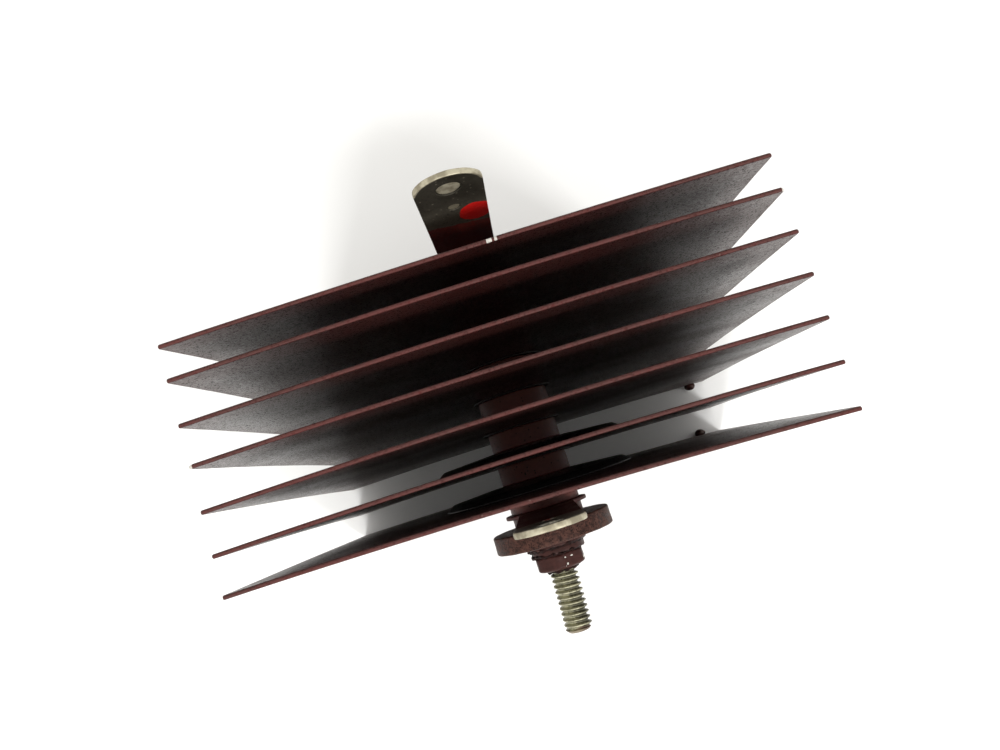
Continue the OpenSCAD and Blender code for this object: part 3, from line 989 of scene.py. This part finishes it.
def stripOutline(p, step=0.45):
    # walked outline in (across, up) seen from the plates; up is away from the stud
    half, ringR, tipR = p["width"] / 2, p["ring"], p["tip"]
    meet = math.asin(half / ringR)
    points = []
    sweep = 2 * math.pi - 2 * meet
    count = int(sweep * ringR / step)
    for k in range(count + 1):
        a = math.pi / 2 + meet + sweep * k / count  # from the left shoulder, round below, to the right shoulder
        points.append((ringR * math.cos(a), ringR * math.sin(a)))
    tipUp = p["reach"] - tipR
    turn = math.asin(half / tipR)
    top = tipUp + tipR * math.cos(turn)
    bottom = ringR * math.cos(meet)
    count = int((top - bottom) / step)
    points += [(half, bottom + (top - bottom) * k / count) for k in range(1, count)]
    count = int(2 * turn * tipR / step)
    for k in range(count + 1):
        a = turn - 2 * turn * k / count
        points.append((tipR * math.sin(a), tipUp + tipR * math.cos(a)))
    count = int((top - bottom) / step)
    points += [(-half, top - (top - bottom) * k / count) for k in range(1, count)]
    return relax(points, 3)


def relax(points, rounds):
    # smooths a closed outline, so that its shoulders lose their corners
    for _ in range(rounds):
        ring = [Vector(q) for q in points]
        points = [tuple((ring[k - 1] + q * 2 + ring[(k + 1) % len(ring)]) / 4) for k, q in enumerate(ring)]
    return points


def circleLoop(up, radius, count):
    turns = [2 * math.pi * k / count for k in range(count)]
    return [(radius * math.cos(a), up + radius * math.sin(a)) for a in turns]


def inset(loop, distance, outer):
    # moves a loop into the sheet: inward from its outline, outward from a hole
    out = []
    for k in range(len(loop)):
        a, b = Vector(loop[k - 1]), Vector(loop[(k + 1) % len(loop)])
        along = (b - a).normalized()
        side = Vector((-along.y, along.x)) * (1 if outer else -1)
        out.append(tuple(Vector(loop[k]) + side * distance))
    return out


def edgeGap(point, loops):
    return min((Vector(point) - Vector(q)).length for loop in loops for q in loop)


def makeTerminal(node, name, finish, p, lean, turn, solderFrom, bridged):
    # lean of the strip and turn on the stud in degrees, height where its solder starts, mm, holes with a skin
    ringY = spanY(node)[0]
    outer = stripOutline(p)
    holes = (p["screw"], p["wire"], (0.0, p["bore"]))  # height over the axis and radius
    loops = [outer] + [circleLoop(*hole, count) for hole, count in zip(holes, (44, 32, 48))]
    depths = (0.0, 0.012, 0.04, 0.08, 0.13, 0.22, 0.36, 0.6, 0.95)  # rows inside each rim, mm
    far = 9.0  # stands for nowhere near the outline
    points, gaps, outerGaps, edges = [], [], [], []
    for n, loop in enumerate(loops):
        for d in depths:
            start = len(points)
            ringPoints = inset(loop, d, n == 0) if d else loop
            points += [Vector(q) for q in ringPoints]
            gaps += [d] * len(ringPoints)
            outerGaps += [d if n == 0 else far] * len(ringPoints)
            if d == 0:
                edges += [(start + k, start + (k + 1) % len(loop)) for k in range(len(loop))]
    # fill the middle with an even lattice, clear of the rims
    step, clear = 1.25, 1.4
    up = -p["ring"]
    while up < p["reach"]:
        across = -p["ring"]
        while across <= p["ring"]:
            inStrip = abs(across) < p["width"] / 2 - clear and -8 < up < p["reach"] - 2.6
            inRing = math.hypot(across, up) < p["ring"] - clear
            offHoles = all(math.hypot(across, up - c) > r + clear for c, r in holes)
            if (inStrip or inRing) and offHoles:
                gap = edgeGap((across, up), loops)
                if gap > 1.3:
                    points.append(Vector((across, up)))
                    gaps.append(gap)
                    outerGaps.append(far)
            across += step
        up += step
    flat, _, triangles, origin, _, _ = delaunay_2d_cdt(points, edges, [], 0, 1e-6)
    keep = []
    for tri in triangles:
        centre = sum((flat[k] for k in tri), Vector((0, 0))) / 3
        inHole = any(math.hypot(centre.x, centre.y - c) < r * 0.999 for c, r in holes)
        if not inHole and insideLoop(centre, outer):
            keep.append(tri)
    depth = [gaps[o[0]] if o else 1.0 for o in origin]
    outerDepth = [outerGaps[o[0]] if o else far for o in origin]
    heights, beadMask = [], []
    halfT = p["thick"] / 2
    for k, q in enumerate(flat):
        d, fromEdge = depth[k], outerDepth[k]
        rounded = math.sqrt(max(0.0, 1 - (1 - min(d / p["soft"], 1)) ** 2))
        tinned = max(0.0, min(1.0, (q.y - solderFrom) / 1.2))
        rimBead = math.exp(-((fromEdge - 0.10) / p["beadIn"]) ** 2) if fromEdge < 1.6 else 0.0
        lump = 1 + 0.35 * noise.noise(Vector((q.x, q.y, turn)) * 0.45)
        height = halfT + p["bead"] * rimBead * tinned * lump
        height += 0.012 * noise.noise(Vector((q.x, q.y, 3.0)) * 0.8)
        heights.append(height * rounded)
        beadMask.append(rimBead * tinned)
    angle = math.radians(lean)

    def placed(across, upward, out):
        # bends the strip beyond the ring, then turns it on the stud
        if upward > p["bend"]:
            run = upward - p["bend"]
            upward = p["bend"] + run * math.cos(angle) - out * math.sin(angle)
            out = run * math.sin(angle) + out * math.cos(angle)
        spin = math.radians(turn)
        across *= 1 + p["flare"] * max(0.0, min(1.0, (upward - 30) / 24))
        x = across * math.cos(spin) + upward * math.sin(spin)
        z = upward * math.cos(spin) - across * math.sin(spin)
        return x * mm, ringY + (halfT + out) * mm, z * mm + axisZ

    verts = [placed(q.x, q.y, heights[k]) for k, q in enumerate(flat)]
    offset = len(verts)
    verts += [placed(q.x, q.y, -heights[k]) for k, q in enumerate(flat)]
    faces = [tuple(t) for t in keep] + [tuple(offset + k for k in reversed(t)) for t in keep]
    masks = beadMask + beadMask
    for up, radius in bridged:
        addFilm(verts, faces, masks, placed, up, radius, p["film"])
    piece = linkMesh(name, verts, faces, finish, attributes={"bead": masks})
    outward(piece, 2e-7)
    shade(piece)
    settle(piece, "tinned_terminal", node)


def addFilm(verts, faces, masks, placed, up, radius, half):
    # a skin of solder across a hole, thicker where it meets the wall
    around, rings = 40, 7
    centre = len(verts)
    verts += [placed(0, up, half), placed(0, up, -half)]
    start = len(verts)
    for side in (1, -1):
        for n in range(1, rings):
            share = n / rings
            for k in range(around):
                a = 2 * math.pi * k / around
                across, rise = radius * share * math.cos(a), up + radius * share * math.sin(a)
                lump = 0.05 * noise.noise(Vector((across, rise, side * 2.3)) * 1.6 + fine)
                verts.append(placed(across, rise, side * (half + 0.12 * share ** 4 + lump)))
    edge = len(verts)
    verts += [placed(across, rise, 0.0) for across, rise in circleLoop(up, radius + 0.03, around)]
    masks += [1.0] * (len(verts) - centre)
    for s in range(2):
        first = start + s * (rings - 1) * around
        for k in range(around):
            m = (k + 1) % around
            loops = [(centre + s, first + k, first + m)]
            for n in range(rings - 2):
                a, b = first + n * around, first + (n + 1) * around
                loops.append((a + k, b + k, b + m, a + m))
            last = first + (rings - 2) * around
            loops.append((last + k, edge + k, edge + m, last + m))
            faces += loops if s == 0 else [tuple(reversed(loop)) for loop in loops]


def insideLoop(point, loop):
    hit = False
    for k in range(len(loop)):
        (x1, y1), (x2, y2) = loop[k - 1], loop[k]
        if (y1 > point.y) != (y2 > point.y) and point.x < (x2 - x1) * (point.y - y1) / (y2 - y1) + x1:
            hit = not hit
    return hit


bridged = [terminal["screw"], terminal["wire"]]
makeTerminal("positive_terminal", "positiveTerminal", "positiveStrip", terminal, 5.0, 0.98, 52.8, bridged)
makeTerminal("negative_terminal", "negativeTerminal", "negativeStrip", terminal, 0.0, 0.7, 51.5, [])
print("terminals made")


hiddenFinish = {"insulating_tube": "tubeFibre"}
hiddenFinish.update({f"barrier_washer_{i}": "barrierFibre" for i in range(1, 8)})
for node, finish in hiddenFinish.items():
    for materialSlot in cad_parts[node].material_slots:
        materialSlot.material = finishes[finish]
print("all pieces placed")
